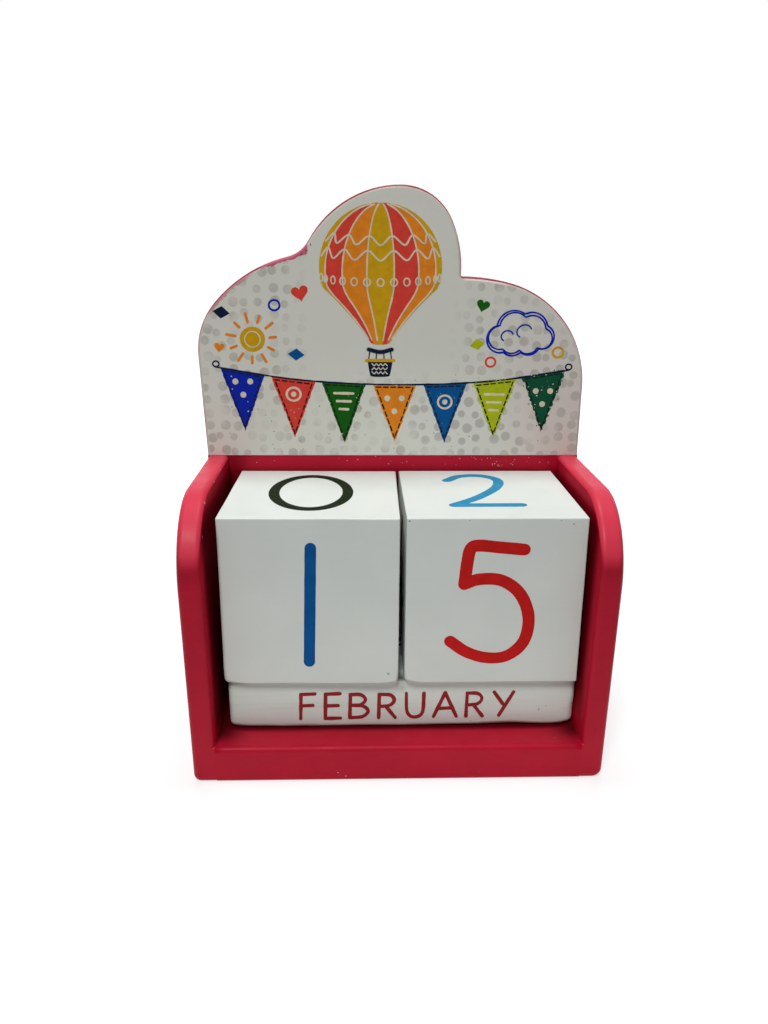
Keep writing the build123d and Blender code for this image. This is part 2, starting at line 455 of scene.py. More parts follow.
def base_color(nodes):
    """Base board: the same, and darkest in the corners at its ends and along the foot of the front bar:
    painted shade.
    """
    x, y, z = nodes.axes()
    near_end = nodes.ranged(nodes.off(x), 0.0375, 0.0468)
    at_end = nodes.times(near_end, nodes.ranged(y, -0.0290, -0.0225, 0.22, 1.0))
    at_bar = nodes.ranged(y, -0.0230, -0.0204)
    on_top = nodes.ranged(z, 0.0085, 0.0099)
    dark = nodes.times(nodes.math("MAXIMUM", at_end, at_bar), on_top, 0.9)
    return nodes.blend(dark, crimson_color(nodes), CREVICE_SHADE_CRIMSON)


def brad_color(nodes):
    """Paint over the brads' heads, a shade deeper than on the boards, so that they just show."""
    return nodes.cloudy(CRIMSON, 0.50, 0.72, 900.0)


def panel_color(nodes):
    """Side panels: the same, and paler where their edges face up, a painted highlight, with a duller band of
    painted shade where that ends.
    """
    facing = nodes.facing_up()
    color = nodes.blend(nodes.ranged(facing, 0.0, 0.2, 0.0, 0.30), crimson_color(nodes), PAINTED_SHADE_CRIMSON)
    return nodes.blend(nodes.ranged(facing, 0.20, 0.44), color, LIT_EDGE_CRIMSON)


def shoulder_inset(nodes, middle_x, middle_z, radius):
    """How many metres a place on the header lies inside the arc round one of its shoulders."""
    x, _, z = nodes.axes()
    off_x = nodes.math("SUBTRACT", x, middle_x * MM)
    off_z = nodes.math("SUBTRACT", z, middle_z * MM)
    from_middle = nodes.add("ShaderNodeCombineXYZ", {"X": off_x, "Y": off_z}).outputs[0]
    away = nodes.add("ShaderNodeVectorMath", {0: from_middle}, operation="LENGTH").outputs["Value"]
    return nodes.math("SUBTRACT", radius * MM, away)


def rim_smear(nodes):
    """1 in the front rim's pink smears: a band round the left shoulder, and a slip by the dome's notch."""
    x, y, z = nodes.axes()
    ragged = nodes.patches(600.0, to_low=-0.00030, to_high=0.00030)
    lower_edge = nodes.math("ADD", nodes.times(x, 0.3204), 0.13835)
    over = nodes.math("ADD", nodes.math("SUBTRACT", z, lower_edge), ragged)
    by_notch = nodes.times(nodes.ranged(x, -0.0385, -0.0350), nodes.ranged(x, -0.0240, -0.0246))
    slip = nodes.times(by_notch, nodes.ranged(over, 0.0, 0.0003))
    inset = shoulder_inset(nodes, *LEFT_SHOULDER)
    on_shoulder = nodes.times(nodes.ranged(x, -0.0530, -0.0500), nodes.ranged(x, -0.0380, -0.0430))
    inner_edge = nodes.ranged(nodes.math("ADD", inset, ragged), 0.00120, 0.00085)
    band = nodes.times(on_shoulder, inner_edge, nodes.ranged(inset, 0.0002, 0.0004), 0.65)
    return nodes.times(nodes.math("MAXIMUM", slip, band), nodes.ranged(y, *FRONT_RIM))


def edge_highlight(nodes):
    """1 along a painted highlight: the pale line inside the front rim, right of the sharp notch."""
    x, y, _ = nodes.axes()
    inset = shoulder_inset(nodes, *RIGHT_SHOULDER)
    across = nodes.times(nodes.ranged(inset, 0.00115, 0.00090), nodes.ranged(inset, 0.00040, 0.00055))
    along_rim = nodes.times(nodes.ranged(x, 0.0185, 0.0200), nodes.ranged(x, 0.0330, 0.0280))
    return nodes.times(across, along_rim, nodes.ranged(y, *FRONT_RIM), 0.85)


def with_rim_marks(nodes, color):
    """The colour under the marks that run over the back board's rim and the film's edge alike: pink smears
    and a painted highlight.
    """
    color = nodes.blend(rim_smear(nodes), color, SMEAR_PINK)
    return nodes.blend(edge_highlight(nodes), color, EDGE_HIGHLIGHT)


def header_color(nodes):
    """Back board: crimson, with painted shade at the strip's left end, and white filler round the header's
    front rim and a pink line between, both reaching further where the rim faces up as a painted highlight.
    """
    x, y, z = nodes.axes()
    facing = nodes.facing_up()
    # painted shade at the left end of the red strip over the cubes
    strip_end_shade = nodes.times(nodes.ranged(x, -0.0415, -0.0470, 0.0, 0.5), in_the_well(nodes))
    color = nodes.blend(strip_end_shade, crimson_color(nodes), PAINTED_SHADE_CRIMSON)
    above = nodes.ranged(z, 0.0738, 0.0742)
    rim = nodes.times(above, nodes.ranged(facing, 0.02, 0.30), nodes.ranged(y, 0.0299, 0.0292))
    color = nodes.blend(rim, color, RIM_CRIMSON)
    behind_face = nodes.math("SUBTRACT", y, BACK_FACE * MM)
    depth = nodes.math("ADD", behind_face, nodes.patches(95.0, to_low=-0.00012, to_high=0.00016))
    # painted highlight: where the rim faces up, the pink and white reach further in
    depth = nodes.math("ADD", depth, nodes.ranged(facing, 0.24, 0.56, 0.0, 0.00045))
    color = nodes.blend(nodes.times(nodes.ranged(depth, 0.00060, 0.00036), above), color, THIN_CRIMSON_AND_HIGHLIGHT)
    color = nodes.blend(nodes.times(nodes.ranged(depth, 0.00036, 0.00016), above), color, FILLER_AND_HIGHLIGHT_WHITE)
    return with_rim_marks(nodes, color)


# ---- paints of the blocks, film and inks ----
def block_color(nodes):
    """Eggshell white over wood: hardly visible grain and a few cool and warm clouds."""
    color = nodes.cloudy(BLOCK_WHITE, 0.975, 1.012, 55.0)
    return nodes.blend(nodes.patches((60.0, 700.0, 900.0), 0.5, 0.85, 0.0, 0.12), color, BLOCK_GRAIN)


def bar_color(nodes):
    """White of the month bars: brush streaks, pinkish near their ends low down, a foot darkened with painted
    shade, and painted shade on the front bar's front edge under the gap between the cubes."""
    x, y, z = nodes.axes()
    color = nodes.cloudy(BAR_WHITE, 0.97, 1.02, 40.0)
    color = nodes.blend(nodes.patches((22.0, 500.0, 480.0), 0.45, 0.75, 0.0, 0.40), color, BAR_STREAK)
    # pinkish near the bars' ends, low down
    near_end = nodes.times(nodes.ranged(nodes.off(x), 0.030, 0.045), nodes.ranged(z, 0.0135, 0.0108))
    pink_ends = nodes.times(near_end, nodes.patches((120.0, 300.0, 900.0), 0.42, 0.65), 0.4)
    color = nodes.blend(pink_ends, color, BAR_END_PINK)
    # painted shade along the bars' foot, uneven in dabs
    dabs = nodes.patches((90.0, 300.0, 500.0), 0.35, 0.65, 0.35, 1.0)
    color = nodes.blend(nodes.times(nodes.ranged(z, 0.0116, 0.0104), dabs), color, BAR_FOOT_SHADE)
    across_gap = nodes.ranged(nodes.off(x, 0.0009), 0.0020, 0.0)
    under_gap_shade = nodes.times(across_gap, nodes.ranged(y, -0.0150, -0.0195))
    # painted shade on the front bar's front edge under the gap between the cubes, greyer over its upper part
    # and darkest on the edge
    color = nodes.blend(nodes.times(under_gap_shade, nodes.ranged(z, 0.0196, 0.0218, 0.0, 0.45)), color, GAP_SHADE_GREY)
    return nodes.blend(nodes.times(under_gap_shade, nodes.ranged(z, 0.0232, 0.0240), 0.9), color, GAP_SHADE_DARK)


def sheet_color(nodes):
    """Printed film: warm white with soft pale-grey spots that leave the middle clear."""
    x, _, z = nodes.axes()
    color = nodes.cloudy(SHEET_WHITE, 0.97, 1.01, 28.0)
    # painted light: paler towards the film's foot
    color = nodes.blend(nodes.ranged(z, 0.112, 0.080), color, shade(SHEET_WHITE, 1.03))
    rosy = nodes.times(nodes.ranged(x, 0.018, 0.050), nodes.ranged(z, 0.120, 0.088, 0.25, 1.0))
    color = nodes.blend(rosy, color, SHEET_PINK)
    flat = nodes.add("ShaderNodeCombineXYZ", {"X": x, "Y": z}).outputs[0]
    grid = {"Vector": flat, "Scale": 256.0, "Randomness": 0.55}
    cells = nodes.add("ShaderNodeTexVoronoi", grid, voronoi_dimensions="2D")
    spot_size = nodes.add("ShaderNodeSeparateColor", {0: cells.outputs["Color"]}).outputs[0]
    reach = nodes.ranged(spot_size, 0.0, 1.0, 0.27, 0.37)
    spot = nodes.ranged(nodes.math("SUBTRACT", cells.outputs["Distance"], reach), 0.05, -0.05)
    beside = nodes.ranged(nodes.off(x, -0.004), 0.018, 0.030)
    where = nodes.math("MAXIMUM", beside, nodes.ranged(z, 0.100, 0.092))
    spots = nodes.times(spot, where, nodes.patches(75.0, 0.34, 0.60, 0.15, 1.0), 0.85)
    return with_rim_marks(nodes, nodes.blend(spots, color, SPOT_GREY))


def ink_color(color):
    """Colour of a printed ink, with a little unevenness."""
    def build(nodes):
        return nodes.cloudy(color, 0.90, 1.05, 420.0, detail=4.0)
    return build


ORANGE_PEEL = [(260.0, 0.030), (1400.0, 0.010)]
SANDED = [((8.0, 110.0, 110.0), 0.10)]  # faint flats that run across the boards' edges
BRUSHED = [((25.0, 500.0, 500.0), 0.06), (1200.0, 0.015)]
SIDE_PAINT = paint_material("side_paint", panel_color, 0.40, 0.16, ORANGE_PEEL + SANDED, mostly_matt)
BASE_PAINT = paint_material("base_paint", base_color, 0.40, 0.14, ORANGE_PEEL, matt_arris)
HEADER_PAINT = paint_material("header_paint", header_color, 0.36, 0.15, ORANGE_PEEL, in_the_deep)
BRAD_PAINT = paint_material("brad_paint", brad_color, 0.36, 0.25, [(900.0, 0.030)])
BLOCK_PAINT = paint_material("block_paint", block_color, 0.46, 0.30, [(150.0, 0.030), (1200.0, 0.012)])
BAR_PAINT = paint_material("bar_paint", bar_color, 0.50, 0.30, BRUSHED)
SHEET = paint_material("sheet_film", sheet_color, 0.40, 0.30, [(120.0, 0.020), (900.0, 0.006)])
INK = {name: paint_material("ink_" + name, ink_color(color), 0.55, 0.06, [(1500.0, 0.006)])
       for name, color in INKS.items()}

NODE_FINISH = {"base_board": BASE_PAINT, "back_board": HEADER_PAINT, "header_print_sheet": SHEET,
               "back_brads": BRAD_PAINT, "left_side_brads": BRAD_PAINT, "right_side_brads": BRAD_PAINT}
for node_name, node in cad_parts.items():
    node.data.materials.clear()
    node.data.materials.append(NODE_FINISH.get(node_name, SIDE_PAINT))


# ---- camera ----
camera = bpy.data.objects.new("camera", bpy.data.cameras.new("camera"))
camera.data.sensor_width = SENSOR
camera.data.lens = FOCAL_PIXELS / IMAGE_HEIGHT * SENSOR
camera.data.clip_start = 0.01
turned = (Matrix.Rotation(radians(CAMERA_YAW), 4, "Z") @ Matrix.Rotation(radians(90 - CAMERA_PITCH), 4, "X")
          @ Matrix.Rotation(radians(CAMERA_ROLL), 4, "Z"))
camera.matrix_world = Matrix.Translation(Vector(CAMERA_PLACE) * MM) @ turned
bpy.context.scene.collection.objects.link(camera)
bpy.context.scene.camera = camera
bpy.context.scene.view_settings.view_transform = "Standard"


def seen_at(thing, across, down):
    """A face on the piece where the camera's ray through a pixel of the photograph meets it, or None."""
    from_middle = Vector((across - IMAGE_WIDTH / 2, IMAGE_HEIGHT / 2 - down, -FOCAL_PIXELS))
    ray = (camera.matrix_world.to_3x3() @ from_middle).normalized()
    found, place, normal, _ = thing.ray_cast(camera.matrix_world.translation, ray)
    if not found:
        return None
    right = Vector((-normal.y, normal.x, 0.0))
    right = right.normalized() if right.length > 0.01 else Vector((1, 0, 0))
    return Face(place / MM, right, normal.cross(right))


# ---- number cubes and month bars ----
ARC_STEPS = 5
GRID_SPACING = 2.5


def grid_lines(half, radius):
    """Lines across one side of a block: (side, t) in the rolled edges and (0, place) between them."""
    arc = [tan(pi / 4 * k / ARC_STEPS) for k in range(ARC_STEPS, -1, -1)]
    inner = half - 2.4 * radius
    count = max(2, round(2 * inner / GRID_SPACING))
    lines = [(-1, t) for t in arc]
    lines += [(0, -inner + 2 * inner * i / count) for i in range(count + 1)]
    return lines + [(1, t) for t in reversed(arc)]


def worn_block(name, centre, half, radius, radius_at, material, body, node, turn=0.0, dents=0.05, seed=0):
    """A block with rolled edges whose radius changes along them, as sanding by hand leaves it."""
    bm = bmesh.new()
    lines = [grid_lines(h, radius) for h in half]
    spin = Matrix.Rotation(radians(turn), 3, "Z")
    made = {}

    def vertex(key):
        if key in made:
            return made[key]
        picked = [lines[axis][index] for axis, index in enumerate(key)]
        nominal = Vector([side * h if side else place for (side, place), h in zip(picked, half)])
        r = radius_at(nominal)
        core = Vector([side * (h - r) if side else place for (side, place), h in zip(picked, half)])
        way = Vector([side * place if side else 0.0 for side, place in picked]).normalized()
        p = core + way * r
        rough = noise.noise(p * 0.13 + Vector((seed, 0, 0)))
        rough += 0.5 * noise.noise(p * 0.4 + Vector((0, seed, 0)))
        p -= way * dents * (0.75 + 0.5 * rough)
        made[key] = bm.verts.new((Vector(centre) + spin @ p) * MM)
        return made[key]

    for axis in range(3):
        a, b = [k for k in range(3) if k != axis]
        for end in (0, len(lines[axis]) - 1):
            for i in range(len(lines[a]) - 1):
                for j in range(len(lines[b]) - 1):
                    corners = []
                    for di, dj in ((0, 0), (1, 0), (1, 1), (0, 1)):
                        key = [0, 0, 0]
                        key[axis], key[a], key[b] = end, i + di, j + dj
                        corners.append(vertex(tuple(key)))
                    bm.faces.new(corners)
    piece = finish_piece(name, bm, [material], body, smooth=True)
    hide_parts(node)
    return piece


def middle(node):
    low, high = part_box(node)
    return (low + high) / 2 / MM


def size(node):
    low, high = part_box(node)
    return (high - low) / MM


def wavering(base, spread, seed):
    """An edge radius that drifts by up to spread round base."""
    def radius_at(p):
        return base + spread * noise.noise(p * 0.09 + Vector((seed, seed, 0)))
    return radius_at


def swell(distance, reach):
    """1 at no distance, falling smoothly to 0 over about twice the reach."""
    return exp(-((distance / reach) ** 2))


def cube_radius(seed, worn, gap):
    """A cube's edges: crisp, but rounder by worn down its left and round the lower corners in front.

    gap is 1 where the other cube is on the right, and -1 where it is on the left.
    """
    half = CUBE / 2

    def radius_at(p):
        upright = 1 - swell(half - abs(p.z), 4)
        on_left = swell(p.x + half, 8)
        extra = worn * (upright * on_left + 1.4 * swell((p - Vector((-half, -half, -half))).length, 3))
        extra += 0.8 * swell((p - Vector((gap * half, -half, -half))).length, 2.5)
        return wavering(0.42, 0.13, seed)(p) + extra
    return radius_at


def front_bar_radius(p):
    """The front bar's lower front edge is rubbed away right of the middle, and its ends are rounder."""
    half = 46
    radius = wavering(0.75, 0.2, 11)(p)
    if p.z < 0 and p.y < 0:
        radius += 0.25 + 0.95 * swell(p.x - 29, 8) + 0.5 * swell(half - p.x, 4)
    return radius + 0.8 * swell(half - abs(p.x), 4)


CUBE_GRID_RADIUS = 1.0
BAR_GRID_RADIUS = 1.3
CUBE_CENTRE = {}
BLOCKS = {}
for side, radius_at in (("left", cube_radius(3, 0.65, 1)), ("right", cube_radius(7, 0.10, -1))):
    node = f"number_cube_{side}"
    CUBE_CENTRE[side] = middle(node)
    BLOCKS[node] = worn_block(f"{side}_cube_block", CUBE_CENTRE[side], (CUBE / 2,) * 3, CUBE_GRID_RADIUS,
                              radius_at, BLOCK_PAINT, f"{side}_cube", node, CUBE_TWIST[side], seed=len(side))

for place, radius_at in (("front", front_bar_radius), ("middle", wavering(0.8, 0.2, 17)),
                         ("rear", wavering(0.8, 0.2, 23))):
    node = f"month_bar_{place}"
    BLOCKS[node] = worn_block(f"{place}_bar_block", middle(node), size(node) / 2, BAR_GRID_RADIUS, radius_at,
                              BAR_PAINT, f"{place}_bar", node, seed=len(place) + 20)

# ---- digits ----
# Strokes of each digit, in millimetres from the middle of a cube's face.
STROKE = {5: 3.15}  # the 5 is a little bolder
PLAIN_STROKE = 2.9
DIGITS = {
    0: [ellipse(-0.75, 0.65, 9.95, 15.6, turn=3)],
    1: [[(0.5, 14.9), (0.1, 0.0), (-0.35, -16.2)]],
    2: [[(-9.4, 11.8), (-5.4, 16.2), (0.6, 16.8), (4.9, 12.4), (3.4, 4.4), (-2.8, -5.0), (-9.8, -11.9)],
        [(-9.8, -11.9), (7.6, -11.8)]],
    3: [[(-8.0, 12.4), (-3.0, 16.2), (3.6, 15.6), (7.0, 10.8), (4.4, 4.8), (-1.6, 2.2)],
        [(-1.6, 2.2), (5.6, 0.6), (9.0, -5.6), (6.4, -12.4), (0.0, -15.6), (-6.4, -14.0), (-10.0, -10.2)]],
    4: [[(3.4, 16.0), (-9.8, -4.8)], [(-9.8, -4.8), (9.8, -5.2)], [(4.4, 4.6), (4.0, -16.2)]],
    5: [[(6.8, 14.4), (0.6, 15.0), (-4.6, 15.5), (-6.6, 14.7), (-7.3, 11.4), (-7.9, 5.2)],
        [(-7.9, 5.2), (-4.0, 6.5), (1.6, 6.1), (6.4, 2.4), (8.9, -4.0), (8.0, -10.8), (3.8, -14.9),
         (-1.6, -15.4), (-6.8, -13.7), (-11.0, -10.7)]],
    6: [[(5.6, 14.8), (-2.6, 9.2), (-8.2, 0.6), (-8.6, -7.8), (-4.0, -14.4), (2.8, -15.0), (8.0, -10.2),
         (7.6, -3.2), (2.4, 0.8), (-4.2, -0.8), (-8.0, -5.4)]],
    7: [[(-9.4, 15.0), (9.0, 15.2)], [(9.0, 15.2), (2.6, 2.0), (-2.6, -16.0)]],
    8: [[(0.0, 0.8), (6.6, 6.0), (5.8, 13.2), (0.0, 16.0), (-5.8, 13.2), (-6.6, 6.0), (0.0, 0.8),
         (8.0, -5.0), (7.2, -12.8), (0.0, -16.0), (-7.2, -12.8), (-8.0, -5.0), (0.0, 0.8)]],
}
CUBE_PRINT = {
    "left": {"front": (1, "blue"), "top": (0, "bottle"), "right": (2, "red"), "back": (6, "green"),
             "left": (7, "orange"), "bottom": (8, "royal")},
    "right": {"front": (5, "red"), "top": (2, "sky"), "right": (1, "black"), "back": (3, "orange"),
              "left": (4, "green"), "bottom": (0, "blue")},
}


def add_strokes(bm, face, strokes, width, scale=1.0, shift=(0.0, 0.0), uneven=0.03):
    """Print each stroke a hair higher than the one before, so that they cross cleanly."""
    for i, points in enumerate(strokes):
        placed = [(shift[0] + u * scale, shift[1] + v * scale) for u, v in points]
        add_ribbon(bm, face, smooth_path(placed), width, 0.03 + 0.008 * i, uneven=uneven)


for side, print_by_face in CUBE_PRINT.items():
    faces = block_faces(CUBE_CENTRE[side], (CUBE / 2,) * 3, CUBE_TWIST[side])
    for where, (digit, ink) in print_by_face.items():
        bm = bmesh.new()
        add_strokes(bm, faces[where], DIGITS[digit], STROKE.get(digit, PLAIN_STROKE))
        finish_piece(f"{side}_cube_{where}_digit", bm, [INK[ink]], f"{side}_cube")

# ---- month names ----
# Each capital's width and strokes, in hundredths of its height.
LETTERS = {
    "A": (86, [[(0, 0), (42, 100)], [(42, 100), (86, 0)], [(16, 34), (72, 36)]]),
    "B": (70, [[(3, 100), (0, 0)], [(2, 99), (42, 98), (60, 77), (42, 56), (4, 53)],
               [(4, 53), (50, 50), (70, 27), (48, 4), (0, 0)]]),
    "C": (70, [[(70, 86), (42, 100), (12, 80), (1, 47), (14, 13), (42, 0), (70, 14)]]),
    "D": (74, [[(0, 100), (0, 0)], [(0, 100), (44, 93), (74, 53), (50, 11), (0, 0)]]),
    "E": (55, [[(2, 100), (0, 0)], [(2, 100), (54, 102)], [(1, 52), (47, 53)], [(0, 0), (55, 1)]]),
    "F": (53, [[(3, 100), (0, 0)], [(3, 100), (53, 102)], [(1, 53), (45, 55)]]),
    "G": (76, [[(70, 86), (42, 100), (12, 80), (1, 47), (14, 13), (44, 0), (74, 16)], [(74, 16), (75, 46)],
               [(46, 46), (75, 46)]]),
    "H": (70, [[(0, 100), (0, 0)], [(70, 100), (69, 0)], [(0, 50), (70, 52)]]),
    "I": (6, [[(3, 100), (3, 0)]]),
    "J": (50, [[(50, 100), (49, 30), (34, 3), (12, 3), (0, 22)]]),
    "L": (56, [[(0, 100), (0, 0)], [(0, 0), (56, 1)]]),
    "M": (94, [[(0, 0), (8, 100)], [(8, 100), (47, 22)], [(47, 22), (86, 100)], [(86, 100), (94, 0)]]),
    "N": (72, [[(0, 0), (1, 100)], [(1, 100), (71, 0)], [(71, 0), (72, 100)]]),
    "O": (84, [[(42, 100), (10, 82), (0, 50), (10, 17), (42, 0), (74, 17), (84, 50), (74, 82), (42, 100)]]),
    "P": (64, [[(0, 100), (0, 0)], [(0, 100), (46, 97), (64, 74), (46, 52), (0, 47)]]),
    "R": (63, [[(2, 100), (0, 0)], [(2, 100), (44, 97), (59, 75), (42, 53), (1, 48)], [(27, 49), (63, 0)]]),
    "S": (60, [[(57, 86), (32, 100), (6, 80), (20, 58), (48, 43), (60, 20), (34, 0), (0, 13)]]),
    "T": (72, [[(0, 100), (72, 101)], [(37, 100), (35, 0)]]),
    "U": (66, [[(0, 100), (2, 32), (14, 6), (34, 0), (55, 9), (64, 34), (66, 100)]]),
    "V": (80, [[(0, 100), (40, 0)], [(40, 0), (80, 100)]]),
    "Y": (74, [[(0, 100), (36, 48)], [(74, 100), (22, 0)]]),
}
CAPS = 7.05
HUNDREDTH = CAPS / 100
LETTER_GAP = 39  # in the same unit
LETTER_CLIMB = 0.011  # each word rises a little to the right
LETTER_STROKE = 0.98
LETTER_UNEVEN = 0.22
MONTHS = {
    "front": {"top": ("APRIL", "black"), "front": ("FEBRUARY", "brick"), "bottom": ("JANUARY", "blue"),
              "back": ("MARCH", "green")},
    "middle": {"top": ("MAY", "navy"), "front": ("JUNE", "brick"), "bottom": ("JULY", "black"),
               "back": ("AUGUST", "blue")},
    "rear": {"top": ("SEPTEMBER", "green"), "front": ("OCTOBER", "blue"), "bottom": ("NOVEMBER", "brick"),
             "back": ("DECEMBER", "royal")},
}
NAME_SHIFT = {"front": (1.2, -0.55)}  # names on a front face sit a little right of the middle and low


def add_word(bm, face, word, shift, rng):
    """Letters in a row about the middle, each a little off its place as if lettered by hand."""
    width = sum(LETTERS[c][0] for c in word) + LETTER_GAP * (len(word) - 1)
    u = shift[0] - width * HUNDREDTH / 2
    for c in word:
        advance, strokes = LETTERS[c]
        climb = LETTER_CLIMB * (u - shift[0])
        jog = (u + rng.uniform(-0.1, 0.1), shift[1] + climb - CAPS / 2 + rng.uniform(-0.1, 0.12))
        scale = HUNDREDTH * rng.uniform(0.97, 1.03)
        add_strokes(bm, face, strokes, LETTER_STROKE, scale, jog, LETTER_UNEVEN)
        u += (advance + LETTER_GAP) * HUNDREDTH


lettering = Random(7)
for place, names in MONTHS.items():
    faces = block_faces(middle(f"month_bar_{place}"), size(f"month_bar_{place}") / 2)
    for where, (word, ink) in names.items():
        bm = bmesh.new()
        add_word(bm, faces[where], word, NAME_SHIFT.get(where, (0.0, 0.0)), lettering)
        finish_piece(f"{place}_bar_{where}_month", bm, [INK[ink]], f"{place}_bar")

# ---- header print ----
HEADER = Face((0, SHEET_FACE, 0), (1, 0, 0), (0, 0, 1))
art = Random(21)


def print_piece(name, build, inks):
    """A motif on the header: build(bm) draws it, and inks are its material slots in order."""
    bm = bmesh.new()
    build(bm)
    finish_piece("print_" + name, bm, [INK[ink] for ink in inks], "tray")


def line(bm, points, width, level=0.03, ink=0, uneven=0.03, steps=7):
    """A line through the points. level is how far it stands out, and ink the number of its material slot."""
    add_ribbon(bm, HEADER, smooth_path(points, steps), width, level, ink, uneven)


def loop(bm, u, v, across, height, width, level, ink, uneven=0.03, steps=20):
    """A line round an ellipse."""
    add_ribbon(bm, HEADER, ellipse(u, v, across, height, steps), width, level, ink, uneven)


BALLOON = (-4.2, 126.4)
BALLOON_RADIUS = 17.0
THROAT = (2.9, 106.2)  # half width and height of the balloon's mouth
GORES = 7
ROUND_TO = 108  # degrees from the crown to where the envelope draws in to its mouth
WAVES = (60, 74)  # the same to each wavy line, and how far it swings
WAVE_SWING = 4.5
RINGS = 98  # and to the row of rings


def balloon_section(angle):
    """Half width and height of the envelope; angle runs from 0 at the crown to 180 at the mouth."""
    a = radians(min(angle, ROUND_TO))
    half, height = BALLOON_RADIUS * sin(a), BALLOON[1] + BALLOON_RADIUS * cos(a)
    t = max(0, angle - ROUND_TO) / (180 - ROUND_TO)
    ease = t * (1.25 - 0.25 * t)
    return half + (THROAT[0] - half) * ease, height + (THROAT[1] - height) * t


def on_balloon(longitude, angle):
    """Place on the envelope seen from the front, longitude from -90 at its left rim to 90 at its right."""
    half, height = balloon_section(angle)
    sag = 1.6 * cos(radians(longitude)) * sin(radians(min(angle, 150)))
    return BALLOON[0] + half * sin(radians(longitude)), height - sag + 0.8


def balloon(bm):
    angles = [4 + 176 * i / 30 for i in range(31)]
    edges = [-90 + 180 * k / GORES for k in range(GORES + 1)]
    for k in range(GORES):
        outline = [on_balloon(edges[k], a) for a in angles]
        outline += [on_balloon(edges[k + 1], a) for a in reversed(angles)]
        add_patch(bm, HEADER, outline, 0.02 + 0.004 * k, k % 3)
    for k in range(1, GORES):
        line(bm, [on_balloon(edges[k], a) for a in angles[1::2]], 0.42, 0.06 + 0.003 * k, 3, 0.3, steps=3)
    stops = [(i, -90 + 90 * i / GORES) for i in range(1, 2 * GORES)]
    for number, angle in enumerate(WAVES):
        wave = [on_balloon(longitude, angle - WAVE_SWING * (-1) ** i) for i, longitude in stops]
        line(bm, wave, 0.5, 0.09 + 0.01 * number, 3, 0.3, steps=6)
    for _, longitude in stops:
        reach = 0.95 * max(0.45, cos(radians(longitude)))
        loop(bm, *on_balloon(longitude, RINGS), reach, 1.05, 0.4, 0.115, 3, 0.3, steps=12)
    collar = [(BALLOON[0] - THROAT[0] - 0.4, THROAT[1] - 1.3), (BALLOON[0], THROAT[1] - 2.0),
              (BALLOON[0] + THROAT[0] + 0.4, THROAT[1] - 1.3)]
    line(bm, collar, 1.1, 0.125, 4)


def basket(bm):
    top = THROAT[1] - 4.4
    left, right, foot = BALLOON[0] - 3.6, BALLOON[0] + 3.6, top - 4.6
    for share in (-1.0, -0.35, 0.35, 1.0):
        line(bm, [(BALLOON[0] + share * THROAT[0], THROAT[1] - 1.6), (BALLOON[0] + share * 3.3, top)], 0.35)
    tub = [(left, top), (left + 0.7, foot + 0.8), (left + 1.6, foot), (right - 1.6, foot),
           (right - 0.7, foot + 0.8), (right, top)]
    add_patch(bm, HEADER, smooth_path(tub, 4), 0.04)
    for i in range(3):
        z = foot + 1.1 + 1.15 * i
        weave = [(left + 1.3 + 0.62 * k, z + 0.28 * (-1) ** (k + i)) for k in range(8)]
        line(bm, weave, 0.3, 0.06, 1, steps=4)
    line(bm, [(left - 0.3, top), (right + 0.3, top)], 0.9, 0.07, 2)


SUN = (-40.2, 107.6)
SUN_RADIUS = 3.5
RAYS = 11


def sun(bm):
    u, v = SUN
    disc = []
    for i in range(18):
        a = 2 * pi * i / 18
        disc.append((u + (SUN_RADIUS + 0.15 * art.random()) * cos(a), v + SUN_RADIUS * sin(a)))
    add_patch(bm, HEADER, smooth_path(disc + [disc[0]], 3))
    for i in range(RAYS):
        a = 2 * pi * i / RAYS + 0.1
        tip = 6.6 + 0.7 * (i % 2)
        line(bm, [(u + reach * cos(a), v + reach * sin(a)) for reach in (4.9, tip)], 0.8, ink=1)
    loop(bm, u, v, 2.2, 2.2, 0.35, 0.05, 2, 0.4, steps=18)


CLOUD = (35.4, 109.2)
PUFFS = [(-5.6, -0.9, 3.3), (-1.6, 1.9, 4.2), (3.4, 1.4, 3.9), (6.4, -1.1, 2.9), (-2.2, -2.2, 3.1),
         (2.4, -2.3, 3.1)]         # each one's middle, from the cloud's, and its radius


def cloud_edge(angle, swollen):
    """Where the cloud's outline is from its middle, in one direction: the far side of the puffs there."""
    way = Vector((cos(angle), sin(angle)))
    far = 0.0
    for u, v, reach in PUFFS:
        along_way = way.x * u + way.y * v
        inside = (reach * swollen) ** 2 - (u * u + v * v - along_way ** 2)
        if inside > 0:
            far = max(far, along_way + inside ** 0.5)
    return way * far


def cloud(bm):
    u, v = CLOUD
    for turn, swollen, level in ((0, 1.0, 0.03), (4, 1.16, 0.045)):
        outline = []
        for i in range(90):
            x, y = spun(*cloud_edge(2 * pi * i / 90, swollen), turn)
            outline.append((u + x, v + y))
        line(bm, outline + [outline[0]], 0.5, level, 0, 0.25, steps=2)
    for x, y, reach in ((-3.6, -0.4, 1.7), (1.2, 0.9, 2.1)):
        curl = ellipse(u + x, v + y, reach, reach * 0.85, 20, turn=20)[:13]
        line(bm, curl, 0.45, steps=2)


STRING = [(-50.8, 99.8), (-27.0, 96.2), (0.0, 94.9), (27.0, 95.9), (50.0, 99.2)]
PENNANTS = [
    (-43.4, "royal", 17.4), (-29.0, "coral", 17.0), (-14.6, "green", 17.6), (0.0, "orange", 16.8),
    (14.6, "blue", 17.4), (28.9, "lime", 16.8), (43.0, "pine", 17.2),
]  # each one's u, ink and drop
STITCH = 2.16  # from one stitch to the next
SCUFFED_FROM = 6  # the pennants from this one on are scuffed


def string_height(u):
    path = smooth_path(STRING, 30)
    return min(path, key=lambda p: abs(p.x - u)).y


